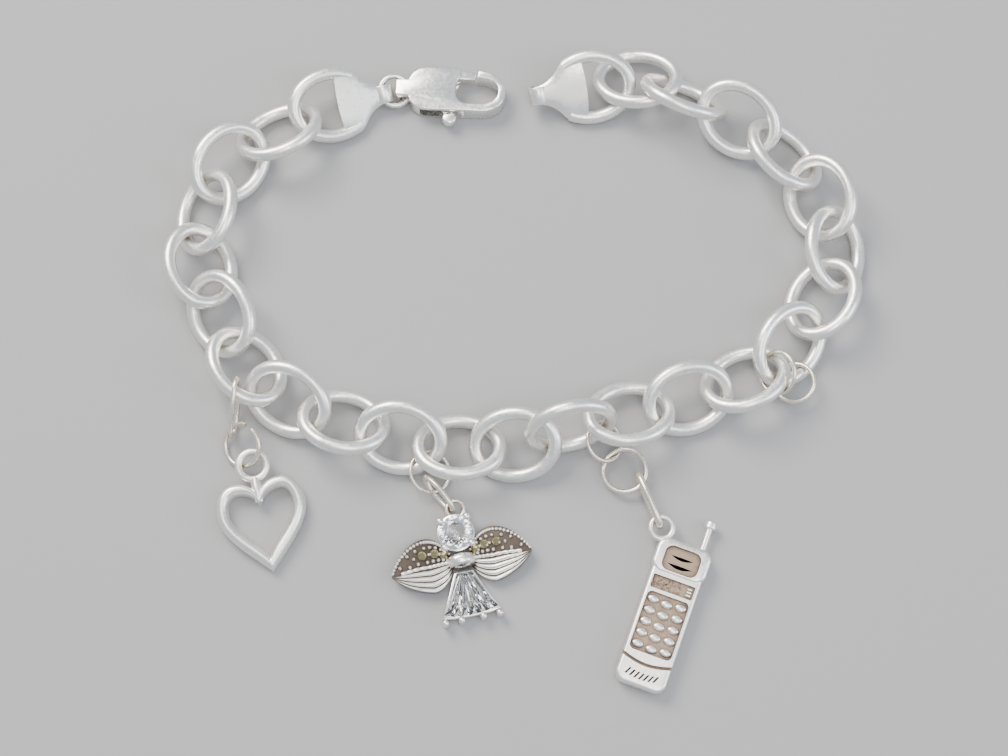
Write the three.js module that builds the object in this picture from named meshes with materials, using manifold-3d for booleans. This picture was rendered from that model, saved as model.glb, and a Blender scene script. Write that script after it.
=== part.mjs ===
// A sterling silver charm bracelet, unfastened and lying in an open loop: an oval cable chain
// between two soldered end caps, a lobster clasp on a jump ring, and three charms.
// Millimetres, +Z up. The bracelet lies on the plane z = 0 with its box centred on the origin.
import * as THREE from 'three';
import { mergeVertices } from 'three/addons/utils/BufferGeometryUtils.js';
import Module from 'manifold-3d';

const wasm = await Module();
wasm.setup();

// ---- driving dimensions ----

const CHAIN = { length: 11.1, width: 9.1, wire: 1.6 };

const CAP = {
  innerX: 0.9, innerBulge: 0.35, cornerX: 2.8, cornerY: 3.95, waistX: 5.2, waistY: 1.45,
  tipX: 6.4, tipHalf: 1.05, bottom: -0.35, top: 0.85,
  eyeX: 6.5, eyeLong: 2.4, eyeHigh: 2.3, holeLong: 1.6, holeHigh: 1.5, wireEnd: 48,
};

const CLASP = {
  thick: 2.6, edge: 0.3, neckHalf: 1.05, neckX: 1.5, half: 2.75, gateX: 7.8, tipX: 9.95, endX: 13.4,
  eyeX: 1.3, holeLong: 1.6, holeHigh: 1.5,
  slotFrom: 3, slotTo: 8.4, slotHigh: 1.8, pivotX: 5, pivotY: 0.3, rivetRadius: 0.45,
};

const LEVER = { thick: 1.2, hubRadius: 1.35, holeRadius: 0.75, nubX: 1.65, nubY: -3.7, nubRadius: 0.88 };

const HEART = {
  half: 5.2, sideY: 7.5, lobeX: 2.7, lobeY: 11, notchY: 9.2, band: 1.45, thick: 1.6,
  bailY: 12.7, bailRadius: 1.65, bailWire: 0.85, neckRadius: 0.6,
};

const ANGEL = {
  backZ: 0, headY: 3.15, headRadius: 2.1, headBase: 1.3, headHigh: 2.6, loopX: 0.45, loopY: 5.9,
  loopZ: 1.45, loopRadius: 1, loopWire: 0.45,
  spineWide: 0.9, torsoWide: 3.4, torsoLong: 1.9, torsoHigh: 2.4, wingThick: 1, wingTilt: 7,
  skirtTop: -1.4, skirtBottom: -6.6, skirtTopHalf: 1.05, skirtBottomHalf: 3.3, skirtHigh: 1.9,
  prongRadius: 0.32,
};

const PHONE = {
  long: 17.4, wide: 6, thick: 2.2, corner: 1.2, edge: 0.35, recess: 0.35, headWide: 6.5,
  headLong: 4.2, headStep: 0.1,
  loopX: -3.4, loopY: 9.5, loopZ: 1.6, loopRadius: 1.28, loopWire: 0.68,
  rodRadius: 0.38, rodLong: 2.7, rodInset: 1.4, rodSunk: 0.6, buttonWide: 1.5, buttonLong: 0.9,
};

// Sunk fields of the phone's front. y: centre of the field from the middle of the body.
const PHONE_FIELDS = [
  { name: 'earpiece', y: 6.4, halfWide: 2.2, halfLong: 1.55, corner: 0.8 },
  { name: 'display', y: 3.35, halfWide: 2.5, halfLong: 0.8, corner: 0.2 },
  { name: 'keypad', y: -1.35, halfWide: 2.5, halfLong: 3.5, corner: 0.4 },
];

// Keys stand in rows of three. draft: how much narrower a key's top is than its foot.
const KEYS = {
  rows: 5, across: 1.65, down: 1.35, topY: 1.35,
  radius: 0.6, draft: 0.05, proud: 0.2, stretchX: 1.15, stretchY: 0.68,
};

// ---- how the pieces lie ----

// x and y: centre of the link. turn: heading of its long axis from +X, counter-clockwise.
// lean: outer side raised about the long axis. rise: leading end raised. lift: off the surface.
const LINKS = [
  { x: -27.2, y: 30.1, turn: 207, lean: -32, rise: 0, lift: 0 },
  { x: -33, y: 26, turn: 231, lean: 30, rise: 0, lift: 0.3 },
  { x: -35.6, y: 19.8, turn: 262, lean: -34, rise: 0, lift: 0 },
  { x: -36.1, y: 13.1, turn: 284, lean: 25, rise: 0, lift: 0.3 },
  { x: -33.4, y: 7.1, turn: 299, lean: -32, rise: 0, lift: 0 },
  { x: -30.2, y: 0.7, turn: 306, lean: 26, rise: 0, lift: 0.3 },
  { x: -25.2, y: -3.4, turn: 332, lean: -35, rise: 0, lift: 0 },
  { x: -18.7, y: -6, turn: 345, lean: 25, rise: 0, lift: 0.3 },
  { x: -12, y: -7.9, turn: 350, lean: -31, rise: 0, lift: 0 },
  { x: -5.2, y: -9, turn: 358, lean: 22, rise: 0, lift: 0.3 },
  { x: 1.3, y: -8.7, turn: 5, lean: -26, rise: 11, lift: 0 },
  { x: 7.7, y: -6.9, turn: 13, lean: -68, rise: 0, lift: 0 },
  { x: 14.6, y: -5.1, turn: 14, lean: 22, rise: -7, lift: 0.6 },
  { x: 21.5, y: -3.2, turn: 18, lean: -32, rise: 0, lift: 0 },
  { x: 28.2, y: -0.9, turn: 26, lean: 27, rise: 0, lift: 0.3 },
  { x: 33.6, y: 3.3, turn: 51, lean: -35, rise: 0, lift: 0 },
  { x: 37.7, y: 9, turn: 63, lean: 26, rise: 0, lift: 0.2 },
  { x: 39.4, y: 15, turn: 87, lean: -34, rise: 0, lift: 0 },
  { x: 37.9, y: 21.6, turn: 107, lean: 31, rise: 0, lift: 0.3 },
  { x: 33.8, y: 27.1, turn: 130, lean: -34, rise: 0, lift: 0 },
  { x: 28.4, y: 31.5, turn: 142, lean: 30, rise: 8, lift: 0.6 },
  { x: 21.7, y: 34.3, turn: 155, lean: -50, rise: 0, lift: 0 },
  { x: 16.3, y: 37.1, turn: 172, lean: -18, rise: -10, lift: 0.35 },
];

// turn: heading of the cap from its oval to its tip. lean: the side of the loop's outside raised.
const CAPS = [
  { name: 'end_cap_left', x: -20.9, y: 33.7, z: 2.5, turn: 17, lean: -25, rise: -9 },
  { name: 'end_cap_right', x: 10.6, y: 36, z: 2.8, turn: 188, lean: 32, rise: -4 },
];

const CLASP_PLACE = { x: -13.2, y: 36.1, turn: -2.5 };
const HEART_PLACE = { x: -26.5, y: -23.3, turn: 12.5, lean: -4 };
const ANGEL_PLACE = { x: -4.9, y: -22, turn: 11.5 };
const PHONE_PLACE = { x: 18.1, y: -28.4, turn: -20.2 };

// Wire rings. long and wide are outer sizes, and a round ring has only long.
const RINGS = [
  { name: 'clasp_ring', x: -13.35, y: 36.05, z: 1.4, turn: 10, lean: -12, rise: -4, long: 4.3, wire: 0.65 },
  { name: 'heart_chain_ring', x: -31.35, y: -4.4, z: 3, turn: 82, lean: 90, rise: 36, long: 7.8, wide: 4.2, wire: 0.55 },
  { name: 'angel_chain_ring', x: -8.6, y: -11.65, z: 1.2, turn: 0, lean: 0, rise: -21, long: 5.2, wire: 0.42 },
  { name: 'angel_link', x: -7.55, y: -14.3, z: 1.55, turn: -50, lean: -75, rise: 0, long: 5.6, wide: 3, wire: 0.65 },
  { name: 'phone_chain_ring', x: 11.7, y: -8.1, z: 1.55, turn: 0, lean: 0, rise: -30, long: 5.1, wire: 0.48 },
  { name: 'phone_ring', x: 14.05, y: -11.5, z: 1.2, turn: 0, lean: 0, rise: 10, long: 5.6, wire: 0.55 },
  { name: 'phone_link', x: 16.75, y: -15.05, z: 1.6, turn: -68, lean: 90, rise: 0, long: 7.3, wide: 3.2, wire: 0.8 },
  { name: 'spare_ring_1', x: 34.2, y: -1, z: 1.5, turn: 90, lean: 20, rise: 0, long: 5.1, wire: 0.5 },
  { name: 'spare_ring_2', x: 31.9, y: -0.3, z: 3.5, turn: 0, lean: -12, rise: 45, long: 5.4, wire: 0.5 },
];

// The one open ring. from: the angle at which its gap starts. open: the gap's angle. step: how far
// one end stands above the other.
const HEART_RING = {
  x: -30.4, y: -8.5, z: 1.5, turn: 14, lean: -10, rise: 32,
  radius: 2.75, wire: 0.58, from: 30, open: 30, step: 0.5,
};

// ---- materials ----

const SILVER = 0xdcdcda;
const CRYSTAL = 0xe8eef6;

function metal() {
  return new THREE.MeshStandardMaterial({ color: SILVER, roughness: 0.3, metalness: 1 });
}

function crystal() {
  return new THREE.MeshStandardMaterial({ color: CRYSTAL, roughness: 0.05, metalness: 0 });
}

// ---- geometry helpers ----

function weld(geometry) {
  geometry.deleteAttribute('normal');
  geometry.deleteAttribute('uv');
  return mergeVertices(geometry, 1e-4);
}

function toSolid(geometry) {
  const welded = weld(geometry);
  const vertProperties = new Float32Array(welded.attributes.position.array);
  const triVerts = new Uint32Array(welded.index.array);
  return new wasm.Manifold(new wasm.Mesh({ numProp: 3, vertProperties, triVerts }));
}

function toGeometry(solid) {
  const mesh = solid.getMesh();
  const geometry = new THREE.BufferGeometry();
  geometry.setAttribute('position', new THREE.BufferAttribute(mesh.vertProperties, 3));
  geometry.setIndex(new THREE.BufferAttribute(mesh.triVerts, 1));
  geometry.computeVertexNormals();
  return geometry;
}

function joined(geometries) {
  return geometries.map(toSolid).reduce((whole, piece) => whole.add(piece));
}

// An arc of an ellipse in the XY plane; step moves its far end along Z.
class OvalArc extends THREE.Curve {
  constructor(halfLong, halfWide, from = 0, sweep = 360, step = 0) {
    super();
    Object.assign(this, { halfLong, halfWide, from, sweep, step });
  }

  getPoint(t, target = new THREE.Vector3()) {
    const angle = THREE.MathUtils.degToRad(this.from + this.sweep * t);
    return target.set(this.halfLong * Math.cos(angle), this.halfWide * Math.sin(angle), this.step * t);
  }
}

function closedRing(long, wide, wire, steps, sides = 8) {
  const middle = new OvalArc((long - wire) / 2, (wide - wire) / 2);
  return weld(new THREE.TubeGeometry(middle, steps, wire / 2, sides, true));
}

function bentWire(curve, wire, steps, sides = 8) {
  const section = new THREE.Shape();
  section.absarc(0, 0, wire / 2, 0, 2 * Math.PI);
  const corners = new THREE.Shape(section.getSpacedPoints(sides).slice(0, sides));
  return new THREE.ExtrudeGeometry(corners, { steps, bevelEnabled: false, extrudePath: curve });
}

// A flat piece of the given thickness whose outer edges are eased by edge.
function plate(shape, thick, edge, curveSegments = 5) {
  const geometry = new THREE.ExtrudeGeometry(shape, {
    depth: thick - 2 * edge,
    bevelEnabled: edge > 0,
    bevelThickness: edge,
    bevelSize: edge,
    bevelOffset: -edge,
    bevelSegments: 1,
    curveSegments,
  });
  return geometry.translate(0, 0, edge);
}

function block(x0, x1, y0, y1, z0, z1) {
  const geometry = new THREE.BoxGeometry(x1 - x0, y1 - y0, z1 - z0);
  return geometry.translate((x0 + x1) / 2, (y0 + y1) / 2, (z0 + z1) / 2);
}

function post(radius, x, y, z0, z1, sides = 10, topRadius = radius) {
  const geometry = new THREE.CylinderGeometry(topRadius, radius, z1 - z0, sides);
  return geometry.rotateX(Math.PI / 2).translate(x, y, (z0 + z1) / 2);
}

// A rounded oblong bar lying across the piece, along Y, with its section in XZ.
function crossBar(x, z, long, high, halfSpan, curveSegments = 5) {
  const flat = Math.max(long - high, 0.01) / 2;
  const section = new THREE.Shape();
  section.moveTo(-flat, -high / 2);
  section.lineTo(flat, -high / 2);
  section.absarc(flat, 0, high / 2, -Math.PI / 2, Math.PI / 2);
  section.lineTo(-flat, high / 2);
  section.absarc(-flat, 0, high / 2, Math.PI / 2, 1.5 * Math.PI);
  const bar = new THREE.ExtrudeGeometry(section, { depth: 2 * halfSpan, bevelEnabled: false, curveSegments });
  return bar.rotateX(Math.PI / 2).translate(x, halfSpan, z);
}

function place(object, { x, y, z = 0, turn = 0, lean = 0, rise = 0 }) {
  const { degToRad } = THREE.MathUtils;
  object.position.set(x, y, z);
  object.rotation.set(degToRad(-lean), degToRad(-rise), degToRad(turn), 'ZYX');
  return object;
}

function node(name, geometry, material) {
  const mesh = new THREE.Mesh(geometry, material);
  mesh.name = name;
  return mesh;
}

// ---- chain ----

// Height of a link's centre when its lowest point touches the surface.
function restingHeight({ lean, rise, lift }) {
  const { degToRad } = THREE.MathUtils;
  const acrossDrop = ((CHAIN.width - CHAIN.wire) / 2) * Math.cos(degToRad(rise)) * Math.sin(degToRad(lean));
  const alongDrop = ((CHAIN.length - CHAIN.wire) / 2) * Math.sin(degToRad(rise));
  return CHAIN.wire / 2 + Math.hypot(acrossDrop, alongDrop) + lift;
}

function chainLink(row, index) {
  const name = `link_${String(index + 1).padStart(2, '0')}`;
  const link = node(name, closedRing(CHAIN.length, CHAIN.width, CHAIN.wire, 16), metal());
  return place(link, { ...row, z: restingHeight(row) });
}

// An open oval whose ends are soldered under a flared plate. The plate's tip is folded into an eye.
function endCap(row) {
  const flare = new THREE.Shape();
  flare.moveTo(CAP.innerX, -CAP.cornerY + 0.3);
  flare.quadraticCurveTo(CAP.innerX - CAP.innerBulge, 0, CAP.innerX, CAP.cornerY - 0.3);
  flare.lineTo(CAP.cornerX, CAP.cornerY);
  flare.quadraticCurveTo(CAP.waistX - 1.2, CAP.waistY + 0.6, CAP.waistX, CAP.waistY);
  flare.lineTo(CAP.tipX, CAP.tipHalf);
  flare.lineTo(CAP.tipX, -CAP.tipHalf);
  flare.lineTo(CAP.waistX, -CAP.waistY);
  flare.quadraticCurveTo(CAP.waistX - 1.2, -CAP.waistY - 0.6, CAP.cornerX, -CAP.cornerY);
  const sheet = plate(flare, CAP.top - CAP.bottom, 0.2).translate(0, 0, CAP.bottom);
  const eye = crossBar(CAP.eyeX, 0, CAP.eyeLong, CAP.eyeHigh, CAP.tipHalf);
  const hole = crossBar(CAP.eyeX, 0, CAP.holeLong, CAP.holeHigh, 2 * CAP.tipHalf);
  const halfLong = (CHAIN.length - CHAIN.wire) / 2;
  const halfWide = (CHAIN.width - CHAIN.wire) / 2;
  const route = new OvalArc(halfLong, halfWide, CAP.wireEnd, 360 - 2 * CAP.wireEnd);
  const oval = weld(bentWire(route, CHAIN.wire, 14));
  const whole = joined([oval, sheet, eye]).subtract(toSolid(hole));
  return place(node(row.name, toGeometry(whole), metal()), row);
}

// ---- clasp ----

function claspOutline() {
  const { neckHalf, neckX, half, gateX, tipX, endX } = CLASP;
  const outline = new THREE.Shape();
  outline.moveTo(0, neckHalf - 0.3);
  outline.lineTo(0, -neckHalf + 0.3);
  outline.lineTo(0.3, -neckHalf);
  outline.lineTo(neckX, -neckHalf);
  outline.quadraticCurveTo(neckX + 0.6, -half, neckX + 2.4, -half);
  outline.lineTo(10.6, -half);
  outline.bezierCurveTo(12.4, -half + 0.1, endX, -1.6, endX, 0);
  outline.bezierCurveTo(endX, 1.6, 12, 2.5, tipX, 2.6);
  outline.lineTo(tipX, 1.6);
  outline.bezierCurveTo(11.6, 1.6, 12.5, 1, 12.5, 0);
  outline.bezierCurveTo(12.5, -1, 11.8, -1.75, 10.4, -1.75);
  outline.lineTo(8.6, -1.75);
  outline.quadraticCurveTo(7.3, -1.7, 7.3, 0);
  outline.quadraticCurveTo(7.3, 1.2, gateX, 1.5);
  outline.lineTo(gateX, half);
  outline.lineTo(neckX + 2.4, half);
  outline.quadraticCurveTo(neckX + 0.6, half, neckX, neckHalf);
  outline.lineTo(0.3, neckHalf);
  return outline;
}

// Case, hook and rear eye in one casting, with the slot that the lever rocks in and its rivet.
function claspBody() {
  const { thick, edge, eyeX, holeLong, holeHigh, half } = CLASP;
  const { slotFrom, slotTo, slotHigh, pivotX, pivotY, rivetRadius } = CLASP;
  const casting = toSolid(plate(claspOutline(), thick, edge));
  const eyeHole = toSolid(crossBar(eyeX, thick / 2, holeLong, holeHigh, 2 * half));
  const slotLow = (thick - slotHigh) / 2;
  const slot = toSolid(block(slotFrom, slotTo, -2 * half, 2 * half, slotLow, slotLow + slotHigh));
  const rivet = toSolid(post(rivetRadius, pivotX, pivotY, 0.1, thick - 0.1));
  const whole = casting.subtract(eyeHole).subtract(slot).add(rivet);
  return node('clasp_body', toGeometry(whole), metal());
}

// The rocker: gate arm towards the hook's tip, thumb nub on the other side of the pivot.
function claspLever() {
  const { thick, hubRadius, holeRadius, nubX, nubY, nubRadius } = LEVER;
  const gate = new THREE.Shape();
  gate.moveTo(-0.9, 0.6);
  gate.quadraticCurveTo(-0.2, 2.3, 1.2, 2.4);
  gate.lineTo(2.8, 2.4);
  gate.lineTo(4.65, 2.2);
  gate.lineTo(4.65, 1.3);
  gate.lineTo(2.9, 1.3);
  gate.quadraticCurveTo(1.6, 1.1, 1.1, 0.2);
  const arm = new THREE.Shape();
  arm.moveTo(-0.4, -0.9);
  arm.lineTo(0.9, -0.9);
  arm.lineTo(nubX + 0.5, nubY + 0.4);
  arm.lineTo(nubX - 0.6, nubY + 0.2);
  const hub = post(hubRadius, 0, 0, 0, thick, 16);
  const nub = post(nubRadius, nubX, nubY, 0, thick, 14);
  const whole = joined([plate(gate, thick, 0.1), plate(arm, thick, 0.1), hub, nub]);
  const bored = whole.subtract(toSolid(post(holeRadius, 0, 0, -1, thick + 1, 12)));
  const lever = node('clasp_lever', toGeometry(bored), metal());
  return place(lever, { x: CLASP.pivotX, y: CLASP.pivotY, z: (CLASP.thick - thick) / 2 });
}

function clasp() {
  const group = place(new THREE.Group(), CLASP_PLACE);
  group.add(claspBody(), claspLever());
  return group;
}

// ---- heart charm ----

// Heart with its tip at the origin; inset draws the inner edge of the band.
function heartPath(path, inset) {
  const { half, sideY, lobeX, lobeY, notchY } = HEART;
  const side = half - inset;
  const top = lobeY - inset;
  const tip = inset * 1.4;
  const notch = notchY - inset;
  const lobe = lobeX - inset * 0.1;
  path.moveTo(0, tip);
  path.bezierCurveTo(side * 0.35, tip + 2.1, side, sideY - 2.7 + inset * 0.5, side, sideY);
  path.bezierCurveTo(side, sideY + (top - sideY) * 0.6, lobe + (side - lobe) * 0.6, top, lobe, top);
  path.bezierCurveTo(lobe * 0.45, top, 0.3, (top + notch) / 2, 0, notch);
  path.bezierCurveTo(-0.3, (top + notch) / 2, -lobe * 0.45, top, -lobe, top);
  path.bezierCurveTo(-lobe - (side - lobe) * 0.6, top, -side, sideY + (top - sideY) * 0.6, -side, sideY);
  path.bezierCurveTo(-side, sideY - 2.7 + inset * 0.5, -side * 0.35, tip + 2.1, 0, tip);
  return path;
}

function heartCharm() {
  const { band, thick, bailY, bailRadius, bailWire, neckRadius, notchY } = HEART;
  const outer = plate(heartPath(new THREE.Shape(), 0), thick, 0.4);
  const opening = plate(heartPath(new THREE.Shape(), band), 2 * thick, 0).translate(0, 0, -thick / 2);
  const bailSize = 2 * bailRadius + bailWire;
  const bail = closedRing(bailSize, bailSize, bailWire, 16).translate(0, bailY, thick / 2);
  const neck = new THREE.CylinderGeometry(neckRadius, neckRadius, bailY - bailRadius - notchY + 1, 8);
  neck.translate(0, (bailY - bailRadius + notchY - 1) / 2, thick / 2);
  const whole = toSolid(outer).subtract(toSolid(opening)).add(joined([bail, neck]));
  const charm = node('heart_charm', toGeometry(whole), metal());
  return place(charm, HEART_PLACE);
}

function heartRing() {
  const { radius, wire, from, open, step } = HEART_RING;
  const curve = new OvalArc(radius - wire / 2, radius - wire / 2, from + open, 360 - open, step);
  return place(node('heart_ring', weld(bentWire(curve, wire, 22)), metal()), HEART_RING);
}

// ---- angel charm ----

function wingOutline(side) {
  const wing = new THREE.Shape();
  wing.moveTo(side * 1.2, 0.9);
  wing.bezierCurveTo(side * 2, 2.6, side * 3, 3.3, side * 4.2, 3.25);
  wing.bezierCurveTo(side * 6, 3.1, side * 7.8, 1.2, side * 8.4, -0.5);
  wing.quadraticCurveTo(side * 6.6, -2.6, side * 3.7, -3.1);
  wing.bezierCurveTo(side * 2.6, -3, side * 1.7, -2.1, side * 1.2, -0.9);
  return wing;
}

function angelWing(side) {
  const tilt = THREE.MathUtils.degToRad(-side * ANGEL.wingTilt);
  return plate(wingOutline(side), ANGEL.wingThick, 0.2, 4).rotateY(tilt).translate(0, 0, ANGEL.backZ);
}

function skirtOutline(grow) {
  const { skirtTop, skirtBottom, skirtTopHalf, skirtBottomHalf } = ANGEL;
  const skirt = new THREE.Shape();
  skirt.moveTo(-skirtTopHalf - grow, skirtTop + grow);
  skirt.lineTo(-skirtBottomHalf - grow, skirtBottom - grow);
  skirt.lineTo(skirtBottomHalf + grow, skirtBottom - grow);
  skirt.lineTo(skirtTopHalf + grow, skirtTop + grow);
  return skirt;
}

// Head basket, torso, wings, skirt tray, prongs and hanging loop, soldered into one setting.
function angelSetting() {
  const { backZ, headY, headRadius, headBase, torsoWide, torsoLong, torsoHigh } = ANGEL;
  const { spineWide, skirtTop, loopY, loopRadius, loopZ } = ANGEL;
  const basket = post(headRadius - 0.5, 0, headY, backZ, headBase, 14, headRadius + 0.1);
  const torso = block(-torsoWide / 2, torsoWide / 2, -torsoLong / 2, torsoLong / 2, backZ, torsoHigh);
  const spine = block(-spineWide / 2, spineWide / 2, skirtTop, loopY - loopRadius, backZ, loopZ);
  const tray = plate(skirtOutline(0.1), 0.9, 0.1).translate(0, 0, backZ);
  const wings = [angelWing(1), angelWing(-1)];
  const prongs = [...headProngs(), ...skirtProngs()];
  const whole = joined([basket, torso, spine, tray, ...wings, ...prongs, angelLoop()]);
  return node('angel_setting', toGeometry(whole), metal());
}

function headProngs() {
  const { headY, headRadius, headBase, headHigh, prongRadius } = ANGEL;
  return [45, 135, 225, 315].map((angle) => {
    const reach = headRadius + prongRadius + 0.05;
    const x = reach * Math.cos(THREE.MathUtils.degToRad(angle));
    const y = headY + reach * Math.sin(THREE.MathUtils.degToRad(angle));
    return post(prongRadius, x, y, headBase - 0.5, headHigh, 8);
  });
}

function skirtProngs() {
  const { skirtBottom, skirtBottomHalf, skirtHigh, backZ, prongRadius } = ANGEL;
  return [-1, -0.4, 0.4, 1].map((share) => {
    const x = share * (skirtBottomHalf - 0.1);
    return post(prongRadius, x, skirtBottom - prongRadius - 0.05, backZ, skirtHigh, 8);
  });
}

function angelLoop() {
  const { loopX, loopY, loopZ, loopRadius, loopWire } = ANGEL;
  const size = 2 * loopRadius + loopWire;
  return closedRing(size, size, loopWire, 14).translate(loopX, loopY, loopZ);
}

// A round brilliant: crown, girdle and pavilion turned about its axis.
function headStone() {
  const { headRadius, headY, headBase, headHigh } = ANGEL;
  const profile = [
    [0, headBase + 0.3],
    [headRadius - 0.15, headBase + 0.75],
    [headRadius - 0.15, headBase + 0.9],
    [headRadius * 0.6, headHigh],
    [0, headHigh],
  ].map(([radius, height]) => new THREE.Vector2(radius, height));
  const stone = new THREE.LatheGeometry(profile, 16).rotateX(Math.PI / 2).translate(0, headY, 0);
  return node('angel_head_stone', weld(stone), crystal());
}

function skirtStone() {
  const stone = plate(skirtOutline(-0.15), 1, 0.35).translate(0, 0, ANGEL.backZ + 1.2);
  return node('angel_skirt_stone', weld(stone), crystal());
}

function angel() {
  const group = place(new THREE.Group(), ANGEL_PLACE);
  group.add(angelSetting(), headStone(), skirtStone());
  return group;
}

// ---- phone charm ----

function roundedOblong(halfWide, halfLong, corner) {
  const shape = new THREE.Shape();
  shape.moveTo(-halfWide + corner, -halfLong);
  shape.lineTo(halfWide - corner, -halfLong);
  shape.absarc(halfWide - corner, -halfLong + corner, corner, -Math.PI / 2, 0);
  shape.lineTo(halfWide, halfLong - corner);
  shape.absarc(halfWide - corner, halfLong - corner, corner, 0, Math.PI / 2);
  shape.lineTo(-halfWide + corner, halfLong);
  shape.absarc(-halfWide + corner, halfLong - corner, corner, Math.PI / 2, Math.PI);
  shape.lineTo(-halfWide, -halfLong + corner);
  shape.absarc(-halfWide + corner, -halfLong + corner, corner, Math.PI, 1.5 * Math.PI);
  return shape;
}

function sunkField({ y, halfWide, halfLong, corner }) {
  const tool = plate(roundedOblong(halfWide, halfLong, corner), 2 * PHONE.recess, 0, 3);
  return toSolid(tool.translate(0, y, PHONE.thick - PHONE.recess));
}

function phoneKeys() {
  const { rows, across, down, topY, radius, draft, proud, stretchX, stretchY } = KEYS;
  const high = PHONE.recess + proud;
  const keys = [];
  for (let row = 0; row < rows; row += 1) {
    for (const column of [-1, 0, 1]) {
      const key = new THREE.CylinderGeometry(radius - draft, radius, high, 8).rotateX(Math.PI / 2);
      key.scale(stretchX, stretchY, 1);
      key.translate(column * across, topY - row * down, PHONE.thick - 0.05 - high / 2);
      keys.push(key);
    }
  }
  return keys;
}

// A miniature handset: solid body with sunk ear piece, display and keypad, aerial and hanging loop.
function phoneCharm() {
  const { long, wide, thick, corner, edge, rodRadius, rodLong, rodInset, rodSunk } = PHONE;
  const { buttonWide, buttonLong, headWide, headLong, headStep } = PHONE;
  const { loopX, loopY, loopZ, loopRadius, loopWire } = PHONE;
  const handset = plate(roundedOblong(wide / 2, long / 2, corner), thick - headStep, edge, 3);
  const head = plate(roundedOblong(headWide / 2, headLong / 2, corner), thick, edge, 3);
  const body = joined([handset, head.translate(0, (long - headLong) / 2, 0)]);
  const sunk = PHONE_FIELDS.map(sunkField).reduce((whole, field) => whole.subtract(field), body);
  const keyed = phoneKeys().map(toSolid).reduce((whole, key) => whole.add(key), sunk);
  const size = 2 * loopRadius + loopWire;
  const loop = closedRing(size, size, loopWire, 14).translate(loopX, loopY, loopZ);
  const aerialX = headWide / 2 - rodInset;
  const rod = new THREE.CylinderGeometry(rodRadius, rodRadius, rodLong + rodSunk, 8);
  rod.translate(aerialX, long / 2 + (rodLong - rodSunk) / 2, thick / 2);
  const button = new THREE.CylinderGeometry(buttonWide / 2, buttonWide / 2, buttonLong, 10);
  button.translate(aerialX, long / 2 + rodLong + buttonLong / 2 - rodRadius / 3, thick / 2);
  const whole = [loop, rod, button].map(toSolid).reduce((sum, piece) => sum.add(piece), keyed);
  return place(node('phone_charm', toGeometry(whole), metal()), PHONE_PLACE);
}

// ---- loose rings ----

function wireRing(row) {
  const { name, long, wide = long, wire } = row;
  return place(node(name, closedRing(long, wide, wire, 16), metal()), row);
}

// ---- the whole bracelet ----

const bracelet = new THREE.Group();
bracelet.add(...LINKS.map(chainLink), ...CAPS.map(endCap), clasp());
bracelet.add(...RINGS.map(wireRing), heartRing(), heartCharm(), angel(), phoneCharm());

const box = new THREE.Box3().setFromObject(bracelet, true);
const middle = box.getCenter(new THREE.Vector3());
bracelet.position.set(-middle.x, -middle.y, -box.min.z);

export default bracelet;
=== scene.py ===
"""A sterling silver charm bracelet, unfastened and lying in an open loop on a pale surface."""

from math import cos, pi, radians, sin

import bmesh
import bpy
import numpy as np
from mathutils import Matrix, Vector


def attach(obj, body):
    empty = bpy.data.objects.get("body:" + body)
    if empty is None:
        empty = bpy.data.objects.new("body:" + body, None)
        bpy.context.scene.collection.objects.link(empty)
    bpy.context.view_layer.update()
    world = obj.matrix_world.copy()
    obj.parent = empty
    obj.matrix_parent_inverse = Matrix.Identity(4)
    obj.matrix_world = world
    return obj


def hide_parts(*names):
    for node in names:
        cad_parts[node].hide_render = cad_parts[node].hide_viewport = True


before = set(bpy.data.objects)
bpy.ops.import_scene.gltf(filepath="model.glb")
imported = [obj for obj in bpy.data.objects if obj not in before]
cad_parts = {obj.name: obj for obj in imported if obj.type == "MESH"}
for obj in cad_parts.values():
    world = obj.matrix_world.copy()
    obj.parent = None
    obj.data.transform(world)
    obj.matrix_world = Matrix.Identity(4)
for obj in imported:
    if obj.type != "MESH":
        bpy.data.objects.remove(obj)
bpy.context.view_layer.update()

# ---- chain -------------------------------------------------------------------------------
# Twenty-three oval links bent from round sterling wire, each soldered shut and tumbled bright.
# Years of wear have softened the polish to a satin. Where links touch, a brown colour is painted in:
# partly tarnish, partly painted shade.

MM = 0.001
LINK_NAMES = sorted(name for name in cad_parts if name.startswith("link_"))


def linear(hex_colour):
    """An sRGB hex colour as the linear RGBA that sockets take."""
    channels = [int(hex_colour[i:i + 2], 16) / 255 for i in (1, 3, 5)]
    return [c / 12.92 if c <= 0.04045 else ((c + 0.055) / 1.055) ** 2.4 for c in channels] + [1]


def add(tree, kind, inputs, **settings):
    """A node of this kind with its settings, its socket values and its links."""
    node = tree.nodes.new(kind)
    for key, value in settings.items():
        setattr(node, key, value)
    for socket, value in inputs.items():
        if isinstance(value, bpy.types.NodeSocket):
            tree.links.new(value, node.inputs[socket])
        else:
            node.inputs[socket].default_value = value
    return node


def blank_material(name):
    material = bpy.data.materials.new(name)
    material.use_nodes = True
    material.node_tree.nodes.clear()
    return material, material.node_tree


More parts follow.
